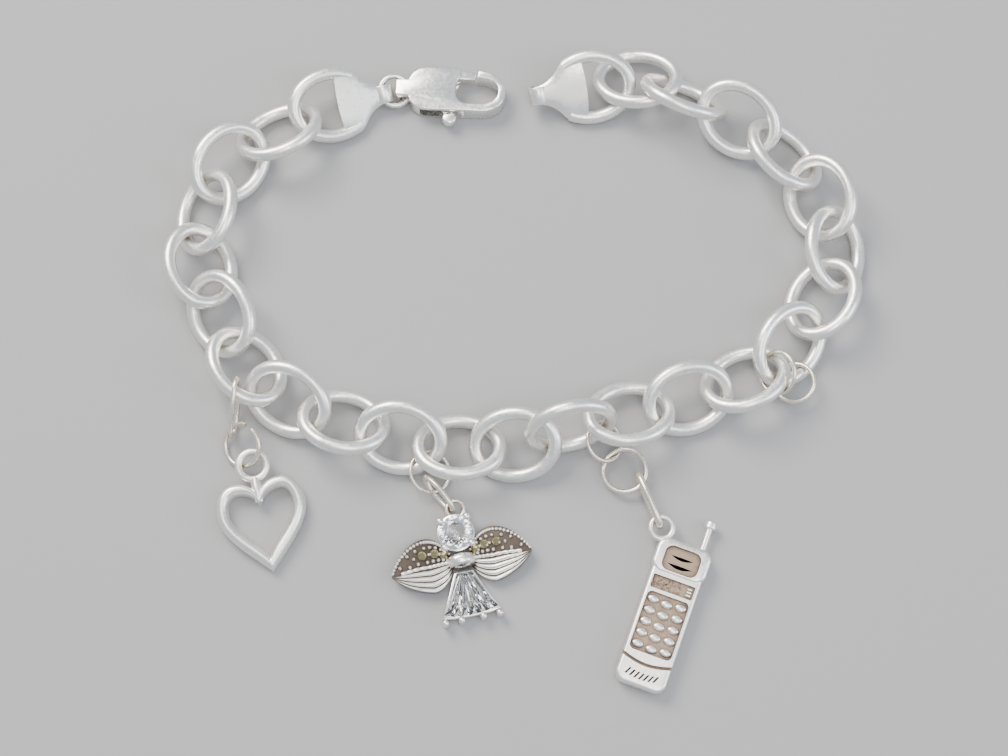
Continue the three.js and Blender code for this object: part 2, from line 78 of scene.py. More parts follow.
def silver(name, clean, tarnish_and_shade, gloss, tarnish_and_shade_from, tarnish_and_shade_to, scratch_depth):
    """Sterling silver. Where ambient occlusion finds crevices and contacts with other pieces, the colour
    stain is mixed in: partly tarnish, partly painted shade. Open faces are rubbed clean by wear.

    clean and stain are hex colours, gloss is the roughness of a rubbed face. tarnish_and_shade_from and
    tarnish_and_shade_to are how open a spot is, from 0 to 1, where it takes the colour stain fully and
    where it is clean.
    """
    material, tree = blank_material(name)
    place = add(tree, "ShaderNodeTexCoord", {}).outputs["Object"]
    cloud_size, pit_size, scratch_wide, scratch_long = 1.6 * MM, 0.35 * MM, 0.07 * MM, 1.4 * MM
    clouds = add(tree, "ShaderNodeTexNoise", {"Vector": place, "Scale": 1 / cloud_size, "Detail": 4.0})
    pits = add(tree, "ShaderNodeTexNoise", {"Vector": place, "Scale": 1 / pit_size, "Detail": 3.0})
    stretched = add(tree, "ShaderNodeMapping", {
        "Vector": place, "Rotation": (0.4, 0.3, 0.7),
        "Scale": (1 / scratch_long, 1 / scratch_wide, 1 / scratch_wide)})
    scratches = add(tree, "ShaderNodeTexNoise", {
        "Vector": stretched.outputs[0], "Scale": 1.0, "Detail": 2.0, "Roughness": 0.6})
    # Ambient occlusion, with clouds of noise, picks out crevices and contacts between pieces and paints the
    # stain colour there: partly tarnish, partly painted shade.
    open_to_light = add(tree, "ShaderNodeAmbientOcclusion", {"Distance": 0.9 * MM}, samples=6)
    uneven = add(tree, "ShaderNodeMath", {
        0: clouds.outputs[0], 1: 0.45, 2: open_to_light.outputs["AO"]}, operation="MULTIPLY_ADD")
    tarnish_and_shade_mask = add(tree, "ShaderNodeMapRange", {
        0: uneven.outputs[0], 1: tarnish_and_shade_from + 0.22, 2: tarnish_and_shade_to + 0.22, 3: 1.0, 4: 0.0})
    colour = add(tree, "ShaderNodeMix", {
        0: tarnish_and_shade_mask.outputs[0], 6: linear(clean), 7: linear(tarnish_and_shade)}, data_type="RGBA")
    satin = add(tree, "ShaderNodeMapRange", {
        0: pits.outputs[0], 1: 0.3, 2: 0.7, 3: gloss * 0.75, 4: gloss * 1.3})
    rough = add(tree, "ShaderNodeMath", {
        0: tarnish_and_shade_mask.outputs[0], 1: 0.3, 2: satin.outputs[0]}, operation="MULTIPLY_ADD")
    relief = add(tree, "ShaderNodeMath", {
        0: pits.outputs[0], 1: 0.6, 2: scratches.outputs[0]}, operation="MULTIPLY_ADD")
    bump = add(tree, "ShaderNodeBump", {
        "Strength": 0.5, "Distance": scratch_depth, "Height": relief.outputs[0]})
    metal = add(tree, "ShaderNodeBsdfPrincipled", {
        "Base Color": colour.outputs[2], "Metallic": 1.0, "Roughness": rough.outputs[0],
        "Normal": bump.outputs[0]})
    add(tree, "ShaderNodeOutputMaterial", {0: metal.outputs[0]})
    return material


# Tumbled sterling wire worn to a satin: near white, with tan in the crevices that is partly tarnish, partly
# painted shade.
TUMBLED_SILVER = silver("tumbled_sterling_silver", "#FAF8F3", "#9A8468", 0.34, 0.08, 0.5, 0.008 * MM)


def corners(node):
    """A CAD node's own vertices, in metres."""
    return np.array([v.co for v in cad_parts[node].data.vertices], float)


def oval_of(node):
    """Centre, axes and outer length, width and wire of a CAD ring, all in metres."""
    points = np.unique(corners(node).round(7), axis=0)
    centre = (points.max(0) + points.min(0)) / 2
    offset = points - centre
    axes = np.linalg.svd(offset, full_matrices=False)[2]
    reach = 2 * np.abs(offset @ axes.T).max(0)
    nearly_round = reach[0] - reach[1] < 0.03 * reach[0]
    if nearly_round:
        reach[:2] = 2 * np.linalg.norm(offset, axis=1).max()
    return centre, axes, reach


def wire(path, radii, up, closed=True, sides=20):
    """Vertices and faces of round wire along a path, its section squared to up."""
    path = np.asarray(path, float)
    count = len(path)
    radii = np.broadcast_to(radii, count)
    ahead, behind = np.roll(path, -1, 0), np.roll(path, 1, 0)
    if not closed:
        ahead[-1], behind[0] = path[-1], path[0]
    tangent = ahead - behind
    across = np.cross(np.asarray(up, float), tangent)
    across /= np.linalg.norm(across, axis=1)[:, None]
    rise = np.cross(tangent, across)
    rise /= np.linalg.norm(rise, axis=1)[:, None]
    angles = np.arange(sides) * 2 * pi / sides
    ring = np.cos(angles)[None, :, None] * across[:, None] + np.sin(angles)[None, :, None] * rise[:, None]
    verts = (path[:, None] + ring * radii[:, None, None]).reshape(-1, 3)
    faces = []
    for i in range(count if closed else count - 1):
        j = (i + 1) % count
        for k in range(sides):
            m = (k + 1) % sides
            faces.append((i * sides + k, j * sides + k, j * sides + m, i * sides + m))
    if not closed:
        faces.append(tuple(range(sides)))
        faces.append(tuple((count - 1) * sides + k for k in range(sides)))
    return verts, faces


def piece(name, parts, node, body="bracelet", matrix=None, sharp=35):
    """One object from parts (vertices, faces, material), riding on body and standing for node."""
    verts, faces, marks, materials = [], [], [], []
    for part_verts, part_faces, material in parts:
        if material not in materials:
            materials.append(material)
        start = len(verts)
        verts.extend(Vector(v) for v in part_verts)
        faces.extend(tuple(start + i for i in face) for face in part_faces)
        marks.extend([materials.index(material)] * len(part_faces))
    mesh = bpy.data.meshes.new(name)
    mesh.from_pydata(verts, [], faces)
    for material in materials:
        mesh.materials.append(material)
    mesh.polygons.foreach_set("material_index", marks)
    mesh.polygons.foreach_set("use_smooth", [True] * len(faces))
    if matrix:
        mesh.transform(matrix)
    edit = bmesh.new()
    edit.from_mesh(mesh)
    bmesh.ops.recalc_face_normals(edit, faces=edit.faces)
    edit.to_mesh(mesh)
    edit.free()
    mesh.set_sharp_from_angle(angle=radians(sharp))
    made = bpy.data.objects.new(name, mesh)
    bpy.context.scene.collection.objects.link(made)
    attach(made, body)
    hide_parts(node)
    return made


def oval_path(long, wide, steps):
    turn = np.arange(steps) * 2 * pi / steps
    return np.stack([long / 2 * np.cos(turn), wide / 2 * np.sin(turn), 0 * turn], 1)


def ring_piece(name, node, steps, material, seam=0.0):
    """A smooth closed ring of round wire, where its CAD ring lies. seam is a solder swelling."""
    centre, axes, (long, wide, thick) = oval_of(node)
    path = oval_path(long - thick, wide - thick, steps) @ axes + centre
    turn = np.arange(steps) * 2 * pi / steps
    swell = 1 + seam * np.exp(-(((turn - 1.9) / 0.09) ** 2))
    verts, faces = wire(path, thick / 2 * swell, axes[2])
    return piece(name, [(verts, faces, material)], node)


for node in LINK_NAMES:
    ring_piece("chain_" + node, node, 112, TUMBLED_SILVER, seam=0.035)

# ---- end caps ----------------------------------------------------------------------------
# Each end of the chain is an oval half covered by a flared sheet-silver plate, soldered on.
# The plate narrows to a tip that is folded back on itself into an eye for the jump ring.

CAPS = {
    "end_cap_left": {"turn": 17, "lean": -25, "rise": -9},
    "end_cap_right": {"turn": 188, "lean": 32, "rise": -4},
}
CAP_WIRE = 1.6
CAP_OVAL = (11.1, 9.1)
CAP_WIRE_ENDS = 3.0
# The plate's half width at stations along the cap, in millimetres: (along, half width).
CAP_FLARE = [(0.9, 3.7), (1.9, 3.95), (2.8, 3.95), (3.5, 3.25),
             (4.3, 2.2), (5.2, 1.5), (6.1, 1.15), (7.0, 1.05)]
CAP_EYE = {"x": 6.5, "long": 2.4, "high": 2.3, "hole_long": 1.6, "hole_high": 1.5, "half": 1.05}


def seat(node, turn=0, lean=0, rise=0):
    """Where a CAD piece lies: a matrix from millimetres, measured from the low corner of its own
    box, to the row frame, and that box's size in millimetres."""
    turned = Matrix.Rotation(radians(turn), 4, "Z") @ Matrix.Rotation(radians(-rise), 4, "Y")
    turned = turned @ Matrix.Rotation(radians(-lean), 4, "X")
    own = corners(node) @ np.array(turned.to_3x3())
    low, high = own.min(0), own.max(0)
    return turned @ Matrix.Translation(low) @ Matrix.Scale(MM, 4), (high - low) / MM


def lofted(rows):
    """Vertices and faces of a closed skin through rings of points."""
    rows = [list(map(tuple, row)) for row in rows]
    sides = len(rows[0])
    verts = [v for row in rows for v in row]
    faces = []
    for i in range(len(rows) - 1):
        for k in range(sides):
            m = (k + 1) % sides
            faces.append((i * sides + k, i * sides + m, (i + 1) * sides + m, (i + 1) * sides + k))
    faces.append(tuple(range(sides)))
    faces.append(tuple((len(rows) - 1) * sides + k for k in range(sides)))
    return verts, faces


def flared_plate(across=24):
    """The cap's sheet: crowned on top, its rim rolled down over the wire."""
    stations = np.array(CAP_FLARE)
    along = np.linspace(stations[0, 0], stations[-1, 0], 40)
    halves = np.interp(along, stations[:, 0], stations[:, 1])
    halves = np.convolve(np.pad(halves, 2, mode="edge"), np.ones(5) / 5, mode="valid")
    rows = []
    for x, half in zip(along, halves):
        share = np.linspace(-1, 1, across)
        bulge = -0.35 * (1 - share ** 2) * max(0, 1 - (x - along[0]) / 1.2)
        flat = min(1, max(0, (x - 4.5) / 2))
        crown = 0.86 - 0.42 * np.abs(share) ** 3.5 * (1 - 0.3 * flat)
        under = crown - 0.62 - 0.2 * (1 - np.abs(share) ** 4)
        top = [(x + b, s * half, z) for b, s, z in zip(bulge, share, crown)]
        low = [(x + b, s * half * 0.985, z) for b, s, z in zip(bulge, share, under)]
        rows.append(top + low[::-1])
    return lofted(rows)


def oblong(long, high, steps=10):
    """A rounded oblong in XZ round its own centre."""
    flat = (long - high) / 2
    ends = [(flat, -pi / 2), (-flat, pi / 2)]
    return [(x + high / 2 * cos(a + k * pi / steps), high / 2 * sin(a + k * pi / steps))
            for x, a in ends for k in range(steps + 1)]


def folded_eye():
    """The folded tip: a band round an oblong hole that runs across the cap."""
    outer = oblong(CAP_EYE["long"], CAP_EYE["high"])
    inner = oblong(CAP_EYE["hole_long"], CAP_EYE["hole_high"])
    half, ease = CAP_EYE["half"], 0.12
    rows = []
    for shape, inset, y in ((inner, 0, -half), (outer, 0.06, -half), (outer, 0, -half + ease),
                            (outer, 0, half - ease), (outer, 0.06, half), (inner, 0, half)):
        rows.append([(CAP_EYE["x"] + x * (1 - inset), y, z * (1 - inset)) for x, z in shape])
    sides = len(outer)
    verts = [v for row in rows for v in row]
    faces = []
    for i in range(len(rows)):
        j = (i + 1) % len(rows)
        for k in range(sides):
            m = (k + 1) % sides
            faces.append((i * sides + k, i * sides + m, j * sides + m, j * sides + k))
    return verts, faces


for node, lie in CAPS.items():
    matrix, _ = seat(node, **lie)
    matrix = matrix @ Matrix.Translation((CAP_OVAL[0] / 2, CAP_OVAL[1] / 2, CAP_EYE["high"] / 2))
    oval = oval_path(CAP_OVAL[0] - CAP_WIRE, CAP_OVAL[1] - CAP_WIRE, 112)
    arc = np.array([p for p in np.roll(oval, 28, 0) if p[0] < CAP_WIRE_ENDS])
    start = int(np.argmax(np.linalg.norm(np.roll(arc, -1, 0) - arc, axis=1))) + 1
    arc = np.roll(arc, -start, 0)
    wire_verts, wire_faces = wire(arc, CAP_WIRE / 2, (0, 0, 1), closed=False)
    parts = [(wire_verts, wire_faces, TUMBLED_SILVER), (*flared_plate(), TUMBLED_SILVER),
             (*folded_eye(), TUMBLED_SILVER)]
    piece("cap_" + node, parts, node, matrix=matrix)

# ---- clasp -------------------------------------------------------------------------------
# A cast lobster clasp, polished brighter than the chain: a hollow case that ends in a hook,
# a lever rocking on a rivet inside it, and a jump ring through its rear eye.

CLASP_TURN = -2.5
CLASP = {"thick": 2.6, "half": 2.75, "neck": 1.05, "ease": 0.4125, "eye_x": 1.3,
         "eye_hole": (1.6, 1.5), "slot": (3, 8.4), "slot_high": 1.8, "rivet": 0.45}
PAST = 6  # how far a cutting tool reaches, past the sides of the piece that it cuts
LEVER = {"thick": 1.2, "pivot": (5.0, 0.3), "nub": (1.65, -3.7), "nub_radius": 0.88,
         "hub": 1.35, "bore": 0.75}
# Its second colour is painted into crevices and contacts: partly tarnish, partly painted shade.
POLISHED_SILVER = silver("polished_cast_silver", "#FBF9F5", "#A08A6E", 0.24, 0.06, 0.42, 0.004 * MM)


def outline(start, *steps, fine=14):
    """Points of a closed outline. A step with one point is a line, with two or three a curve."""
    points = [Vector(start)]
    for step in steps:
        held = [points[-1]] + [Vector(p) for p in step]
        for k in range(1, (fine if len(step) > 1 else 1) + 1):
            t, row = k / (fine if len(step) > 1 else 1), held
            while len(row) > 1:
                row = [a.lerp(b, t) for a, b in zip(row, row[1:])]
            points.append(row[0])
    return points[:-1] if (points[-1] - points[0]).length < 1e-4 else points


def slab(points, low, high, ease=0.0, segments=3):
    """A flat piece with this outline, its edges rounded by ease."""
    shape = bmesh.new()
    ring = [shape.verts.new((p[0], p[1], low)) for p in points]
    face = shape.faces.new(ring)
    grown = bmesh.ops.extrude_face_region(shape, geom=[face])
    lifted = [v for v in grown["geom"] if isinstance(v, bmesh.types.BMVert)]
    bmesh.ops.translate(shape, verts=lifted, vec=(0, 0, high - low))
    bmesh.ops.recalc_face_normals(shape, faces=shape.faces)
    if ease:
        rims = [e for e in shape.edges if abs(e.verts[0].co.z - e.verts[1].co.z) < 1e-6]
        bmesh.ops.bevel(shape, geom=rims, offset=ease, segments=segments, profile=0.5,
                        affect="EDGES", clamp_overlap=True)
    return lists(shape)


def lists(shape):
    shape.verts.index_update()
    result = [v.co.copy() for v in shape.verts], [tuple(v.index for v in f.verts) for f in shape.faces]
    shape.free()
    return result


def scratch_object(parts):
    mesh = bpy.data.meshes.new("cutting")
    verts, faces = [], []
    for part_verts, part_faces in parts:
        start = len(verts)
        verts.extend(part_verts)
        faces.extend(tuple(start + i for i in face) for face in part_faces)
    mesh.from_pydata([Vector(v) for v in verts], [], faces)
    made = bpy.data.objects.new("cutting", mesh)
    bpy.context.scene.collection.objects.link(made)
    edit = bmesh.new()
    edit.from_mesh(mesh)
    bmesh.ops.recalc_face_normals(edit, faces=edit.faces)
    edit.to_mesh(mesh)
    edit.free()
    return made


def carved(block, cuts, skin, inside):
    """block with each group of tools in cuts taken out of it in turn, as parts that piece() takes:
    what is left of its skin, and the cut faces in the inside material."""
    whole = scratch_object([block])
    whole.data.materials.append(skin)
    tools = [scratch_object(group) for group in cuts]
    for tool in tools:
        tool.data.materials.append(inside)
        cut = whole.modifiers.new("cut", "BOOLEAN")
        cut.operation, cut.object, cut.solver, cut.material_mode = "DIFFERENCE", tool, "EXACT", "TRANSFER"
    result = whole.evaluated_get(bpy.context.evaluated_depsgraph_get()).to_mesh()
    verts = [v.co.copy() for v in result.vertices]
    names = [m.name if m else "" for m in result.materials]
    groups = {skin: [], inside: []}
    for face in result.polygons:
        is_cut = names[face.material_index] == inside.name
        groups[inside if is_cut else skin].append(tuple(face.vertices))
    for made in [whole, *tools]:
        bpy.data.objects.remove(made)
    parts = []
    for material, faces in groups.items():
        used = sorted({i for face in faces for i in face})
        number = {old: new for new, old in enumerate(used)}
        if faces:
            parts.append(([verts[i] for i in used], [tuple(number[i] for i in f) for f in faces], material))
    return parts


def clasp_outline():
    half, neck = CLASP["half"], CLASP["neck"]
    return outline(
        (0, neck - 0.3), ((0, -neck + 0.3),), ((0, -neck), (0.3, -neck)), ((1.5, -neck),),
        ((2.1, -half), (3.9, -half)), ((10.6, -half),), ((12.4, -half + 0.1), (13.4, -1.6), (13.4, 0)),
        ((13.4, 1.6), (12, 2.5), (9.95, 2.6)), ((9.95, 1.6),), ((11.6, 1.6), (12.5, 1), (12.5, 0)),
        ((12.5, -1), (11.8, -1.75), (10.4, -1.75)), ((8.6, -1.75),), ((7.3, -1.7), (7.3, 0)),
        ((7.3, 1.2), (7.8, 1.5)), ((7.8, half),), ((3.9, half),), ((2.1, half), (1.5, neck)),
        ((0.3, neck),), ((0, neck), (0, neck - 0.3)))


def brick(x0, x1, y0, y1, z0, z1):
    return slab([(x0, y0), (x1, y0), (x1, y1), (x0, y1)], z0, z1)


def bar_across(x, z, long, high, half):
    section = oblong(long, high)
    return lofted([[(x + a, y, z + b) for a, b in section] for y in (-half, half)])


def disc(x, y, radius, low, high, ease, steps=36):
    return slab([(x + radius * cos(2 * pi * k / steps), y + radius * sin(2 * pi * k / steps))
                 for k in range(steps)], low, high, ease)


clasp_matrix, _ = seat("clasp_body", CLASP_TURN)
clasp_matrix = clasp_matrix @ Matrix.Translation((0, CLASP["half"], 0))
middle = CLASP["thick"] / 2
case = slab(clasp_outline(), 0, CLASP["thick"], CLASP["ease"])
eye_hole = bar_across(CLASP["eye_x"], middle, *CLASP["eye_hole"], PAST)
slot_half = CLASP["slot_high"] / 2
slot_from, slot_to = CLASP["slot"]
lever_slot = brick(slot_from, slot_to, -PAST, PAST, middle - slot_half, middle + slot_half)
case_parts = carved(case, [[eye_hole], [lever_slot]], POLISHED_SILVER, POLISHED_SILVER)
pivot_x, pivot_y = LEVER["pivot"]
rivet = disc(pivot_x, pivot_y, CLASP["rivet"], 0.1, CLASP["thick"] - 0.1, 0)
case_parts.append((*rivet, POLISHED_SILVER))
piece("clasp_case", case_parts, "clasp_body", matrix=clasp_matrix, sharp=40)

lever_low, lever_high = middle - LEVER["thick"] / 2, middle + LEVER["thick"] / 2
gate = outline((-0.9, 0.6), ((-0.2, 2.3), (1.2, 2.4)), ((2.8, 2.4),), ((4.65, 2.2),), ((4.65, 1.3),),
               ((2.9, 1.3),), ((1.6, 1.1), (1.1, 0.2)))
arm = outline((-0.4, -0.9), ((0.9, -0.9),), ((2.15, -3.3),), ((1.05, -3.5),))
nub_x, nub_y = LEVER["nub"]
lever_parts = [
    (*slab(gate, lever_low, lever_high, 0.12), POLISHED_SILVER),
    (*slab(arm, lever_low, lever_high, 0.12), POLISHED_SILVER),
    (*disc(nub_x, nub_y, LEVER["nub_radius"], lever_low, lever_high, 0.3), POLISHED_SILVER)]
hub = disc(0, 0, LEVER["hub"], lever_low, lever_high, 0.1)
bore = disc(0, 0, LEVER["bore"], -1, 4, 0)
lever_parts += carved(hub, [[bore]], POLISHED_SILVER, POLISHED_SILVER)
lever_matrix = clasp_matrix @ Matrix.Translation((pivot_x, pivot_y, 0))
piece("clasp_lever_arm", lever_parts, "clasp_lever", body="lever", matrix=lever_matrix, sharp=40)
ring_piece("clasp_jump_ring", "clasp_ring", 72, POLISHED_SILVER)

# ---- wire rings that hold the charms ------------------------------------------------------
# Thin jump rings and long links of drawn sterling wire, left as drawn, so that they are a
# little browner than the chain. The heart's ring is open, its ends a step apart.

# Its second colour is painted into crevices and contacts: partly tarnish, partly painted shade.
DRAWN_SILVER = silver("drawn_silver_wire", "#F3EBDC", "#86694A", 0.28, 0.16, 0.7, 0.005 * MM)
THIN_RINGS = ["heart_chain_ring", "angel_chain_ring", "angel_link", "phone_chain_ring", "phone_ring",
              "phone_link", "spare_ring_1", "spare_ring_2"]
for node in THIN_RINGS:
    ring_piece("wire_" + node, node, 88, DRAWN_SILVER)

HEART_RING = {"turn": 14, "lean": -10, "rise": 32, "radius": 2.75, "wire": 0.58,
              "from": 60, "sweep": 330, "step": 0.5}
ring_matrix, _ = seat("heart_ring", HEART_RING["turn"], HEART_RING["lean"], HEART_RING["rise"])
reach = HEART_RING["radius"]
ring_matrix = ring_matrix @ Matrix.Translation((reach, reach, HEART_RING["wire"] / 2))
turns = np.radians(HEART_RING["from"] + np.linspace(0, HEART_RING["sweep"], 100))
middle_line = reach - HEART_RING["wire"] / 2
open_ring = np.stack([middle_line * np.cos(turns), middle_line * np.sin(turns),
                      np.linspace(0, HEART_RING["step"], 100)], 1)
piece("open_jump_ring", [(*wire(open_ring, HEART_RING["wire"] / 2, (0, 0, 1), closed=False), DRAWN_SILVER)],
      "heart_ring", matrix=ring_matrix)

# ---- heart charm -------------------------------------------------------------------------
# An open heart cast with a half-round band, filed and polished, with a round bail soldered
# to its cleft. At the solder joint the silver's crevice colour is painted darker: partly tarnish, partly
# painted shade.

HEART = {"turn": 12.5, "lean": -4, "half": 5.2, "side": 7.5, "lobe_x": 2.7, "lobe_y": 11, "notch": 9.2,
         "band": 1.45, "thick": 1.6, "bail_y": 12.7, "bail_radius": 1.65, "bail_wire": 0.85}


def heart_line(inset, fine=26):
    """The heart's edge with its tip at the origin; inset moves it in towards the opening."""
    side = HEART["half"] - inset
    top, notch = HEART["lobe_y"] - inset, HEART["notch"] - inset
    tip, lobe, waist = inset * 1.4, HEART["lobe_x"] - inset * 0.1, HEART["side"]
    right = [((side * 0.35, tip + 2.1), (side, waist - 2.7 + inset * 0.5), (side, waist)),
             ((side, waist + (top - waist) * 0.6), (lobe + (side - lobe) * 0.6, top), (lobe, top)),
             ((lobe * 0.45, top), (0.3, (top + notch) / 2), (0, notch))]
    points = outline((0, tip), *right, fine=fine)
    left = [Vector((-p.x, p.y)) for p in reversed(points[1:-1])]
    return points + left


def heart_band(rounds=14):
    """The band, domed on top and flat underneath."""
    rows = []
    for a, b in zip(heart_line(0), heart_line(HEART["band"])):
        centre, half = (a + b) / 2, (a - b) / 2
        row = []
        for k in range(rounds + 1):
            turn = pi * k / rounds
            height = 0.25 + (HEART["thick"] - 0.25) * sin(turn) ** 0.75
            row.append((*(centre + half * cos(turn)), height))
        for share in (-0.93, 0, 0.93):
            row.append((*(centre + half * share), 0.0))
        rows.append(row)
    sides, count = len(rows[0]), len(rows)
    faces = []
    for i in range(count):
        for k in range(sides):
            j, m = (i + 1) % count, (k + 1) % sides
            faces.append((i * sides + k, i * sides + m, j * sides + m, j * sides + k))
    return [v for row in rows for v in row], faces


heart_matrix, heart_size = seat("heart_charm", HEART["turn"], HEART["lean"])
heart_matrix = heart_matrix @ Matrix.Translation((heart_size[0] / 2, 0, 0))
bail_size = 2 * HEART["bail_radius"]
bail = oval_path(bail_size, bail_size, 64) + (0, HEART["bail_y"], HEART["thick"] / 2)
neck = [(0, 8.3, 0.8), (0, 9.2, 0.8), (0, 10.2, 0.8), (0, 11.2, 0.8)]
heart_parts = [(*heart_band(), TUMBLED_SILVER),
               (*wire(bail, HEART["bail_wire"] / 2, (0, 0, 1)), TUMBLED_SILVER),
               (*wire(neck, [0.5, 0.72, 0.66, 0.5], (1, 0, 0), closed=False), TUMBLED_SILVER)]
piece("heart", heart_parts, "heart_charm", matrix=heart_matrix, sharp=50)

# ---- angel charm -------------------------------------------------------------------------
# Cast and assembled: a basket with a round cubic zirconia for the head, a polished collar, a
# tapered stone for the skirt, and two wings with blackened fields, beads and marcasites.

ANGEL = {"turn": 11.5, "low_y": 7.29, "head_y": 3.15, "head": 2.1, "head_top": 2.6,
         "loop": (0.45, 5.9, 1.45), "loop_radius": 1.0, "loop_wire": 0.45, "tilt": 7, "field": 0.72}
SKIRT = {"top": -1.4, "bottom": -6.6, "top_half": 1.05, "bottom_half": 3.3, "base": 1.2, "high": 2.2}
FEATHERS, MARCASITES, ROPE_BEADS = 4, 3, 24

# Silver blackened with liver of sulphur in the recesses and wiped: matt, brown-black.
# Its darker second colour is painted into crevices: partly deeper patina, partly painted shade.
BLACKENED_SILVER = silver("blackened_silver", "#5A5049", "#2B2521", 0.45, 0.3, 0.95, 0.012 * MM)


def clear_stone(name, tint, ior):
    """A polished transparent stone: glass that light bends through."""
    material, tree = blank_material(name)
    stone = add(tree, "ShaderNodeBsdfPrincipled", {
        "Base Color": linear(tint), "Roughness": 0.02, "IOR": ior, "Transmission Weight": 1.0})
    add(tree, "ShaderNodeOutputMaterial", {0: stone.outputs[0]})
    return material


# Colourless cubic zirconia, machine polished.
ZIRCONIA = clear_stone("polished_cubic_zirconia", "#FBFCFF", 2.15)


def marcasite():
    """Rose-cut pyrite: a dark, yellowish metallic mineral."""
    material, tree = blank_material("cut_marcasite")
    mineral = add(tree, "ShaderNodeBsdfPrincipled", {
        "Base Color": linear("#A89C78"), "Metallic": 1.0, "Roughness": 0.14})
    add(tree, "ShaderNodeOutputMaterial", {0: mineral.outputs[0]})
    return material


CUT_MARCASITE = marcasite()


def dome(x, y, radius, base, high, steps=16, levels=5):
    """A round bead standing on base, closed underneath."""
    rows = []
    for level in range(levels):
        turn = level * pi / 2 / levels
        rows.append([(x + radius * cos(turn) * cos(2 * pi * k / steps),
                      y + radius * cos(turn) * sin(2 * pi * k / steps), base + high * sin(turn))
                     for k in range(steps)])
    verts, faces = lofted(rows)
    return verts, faces


def prong(x, y, radius, foot, top):
    """A round post from foot whose top is pressed into a ball."""
    verts, faces = dome(x, y, radius, top - radius * 0.8, radius * 0.8)
    below = [(vx, vy, foot) for vx, vy, _ in verts[:16]]
    rows = [below] + [verts[i:i + 16] for i in range(0, len(verts), 16)]
    return lofted(rows)


def around(radius, height, count, offset=0.0, x=0.0, y=0.0):
    turns = [(k + offset) * 2 * pi / count for k in range(count)]
    return [(x + radius * cos(t), y + radius * sin(t), height) for t in turns]


def brilliant(x, y, radius, base, top):
    """A round brilliant: table, star, kite and girdle facets over a faceted pavilion."""
    girdle = base + (top - base) * 0.62
    crown = girdle + (top - girdle) * 0.55
    verts = (around(radius * 0.57, top, 8, 0, x, y) + around(radius * 0.8, crown, 8, 0.5, x, y)
             + around(radius, girdle + 0.05, 16, 0, x, y) + around(radius, girdle - 0.05, 16, 0, x, y)
             + around(radius * 0.3, base + (girdle - base) * 0.25, 8, 0.5, x, y) + [(x, y, base)])
    table, star, rim, under, keel, culet = 0, 8, 16, 32, 48, 56
    faces = [tuple(range(8))]
    for i in range(8):
        j, before = (i + 1) % 8, (i - 1) % 8
        a, b, c = 2 * i, 2 * i + 1, (2 * i + 2) % 16
        faces += [(table + i, star + i, table + j), (table + i, star + before, rim + a, star + i),
                  (star + i, rim + a, rim + b), (star + i, rim + b, rim + c),
                  (rim + a, under + a, under + b, rim + b), (rim + b, under + b, under + c, rim + c),
                  (culet, keel + before, under + a, keel + i),
                  (keel + i, under + a, under + b), (keel + i, under + b, under + c)]
    return verts, faces


def skirt_stone(fans=6):
    """A tapered stone: long ridged facets fan from its narrow end above and below the girdle."""
    top, bottom = SKIRT["top"] - 0.15, SKIRT["bottom"] + 0.1
    narrow, wide = SKIRT["top_half"] - 0.15, SKIRT["bottom_half"] - 0.15
    girdle, crest = SKIRT["base"] + 0.55, SKIRT["high"]
    count = 2 * fans + 1
    share = [2 * k / (count - 1) - 1 for k in range(count)]
    rim = [(wide * t, bottom + 0.5 * t * t, girdle) for t in share]
    near = [(narrow * t, top, girdle) for t in share]
    ridge = [(wide * 0.8 * t, bottom + 0.9 + 0.3 * t * t, crest - 0.3 * (k % 2))
             for k, t in enumerate(share)]
    head_end = [(narrow * 0.8 * t, top - 0.4, crest - 0.25 * (k % 2)) for k, t in enumerate(share)]
    keel = [(wide * 0.5 * t, bottom + 1.6, SKIRT["base"] + 0.12 * (k % 2)) for k, t in enumerate(share)]
    keel_end = [(narrow * 0.5 * t, top - 0.8, SKIRT["base"] + 0.12 * (k % 2)) for k, t in enumerate(share)]
    rings = [rim, ridge, head_end, near, keel_end, keel]
    verts = [v for ring in rings for v in ring]
    faces = []
    for r in range(len(rings)):
        after = (r + 1) % len(rings)
        for k in range(count - 1):
            a, b = r * count + k, r * count + k + 1
            c, d = after * count + k + 1, after * count + k
            faces += [(a, b, c), (a, c, d)]
    for k in (0, count - 1):
        faces.append(tuple(r * count + k for r in range(len(rings))))
    return verts, faces


def wing_point(side, along, down):
    """A point of the wing: along from root to tip, down from its upper to its lower edge."""
    upper = outline((1.2, 0.9), ((2, 2.6), (3, 3.3), (4.2, 3.25)),
                    ((6, 3.1), (7.8, 1.2), (8.3, -0.5)), fine=30)
    lower = outline((1.2, -0.9), ((1.7, -2.1), (2.6, -3), (3.7, -3.1)), ((6.6, -2.6), (8.3, -0.5)), fine=30)
    i = along * 60
    a, b = int(min(59, i)), i - int(min(59, i))
    point = upper[a].lerp(upper[a + 1], b).lerp(lower[a].lerp(lower[a + 1], b), down)
    return side * point.x, point.y


